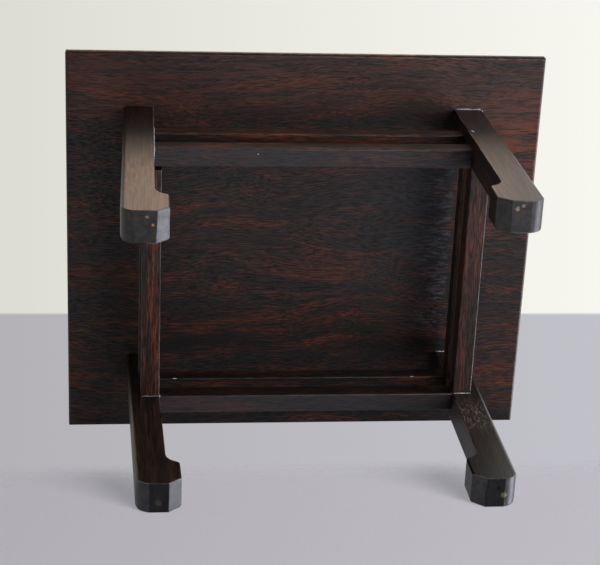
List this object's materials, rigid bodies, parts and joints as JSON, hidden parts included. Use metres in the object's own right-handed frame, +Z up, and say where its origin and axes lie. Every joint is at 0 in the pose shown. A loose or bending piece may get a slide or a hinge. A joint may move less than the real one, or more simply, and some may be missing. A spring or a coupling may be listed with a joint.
{
  "type": "bonsai stand",
  "caption": "Low rectangular hardwood stand for a potted tree: moulded tabletop on square legs with inward hoof feet, tied by two tiers of rails.",
  "frame": {"origin": "on the floor under the middle of the tabletop", "axes": "+X along the tabletop's length, +Y across its width from front to rear, +Z up"},
  "size_m": [0.36, 0.305, 0.223],
  "materials": {
    "tabletop_wood": "dark rosewood, satin",
    "leg_wood": "dark rosewood, satin",
    "rail_wood": "dark rosewood, satin"
  },
  "bodies": {
    "root": {"tabletop": "tabletop_wood", "leg_front_left": "leg_wood", "leg_front_right": "leg_wood", "leg_rear_left": "leg_wood", "leg_rear_right": "leg_wood", "upper_rail_front": "rail_wood", "upper_rail_rear": "rail_wood", "upper_rail_left": "rail_wood", "upper_rail_right": "rail_wood", "lower_rail_front": "rail_wood", "lower_rail_rear": "rail_wood", "lower_rail_left": "rail_wood", "lower_rail_right": "rail_wood"}
  },
  "joints": []
}
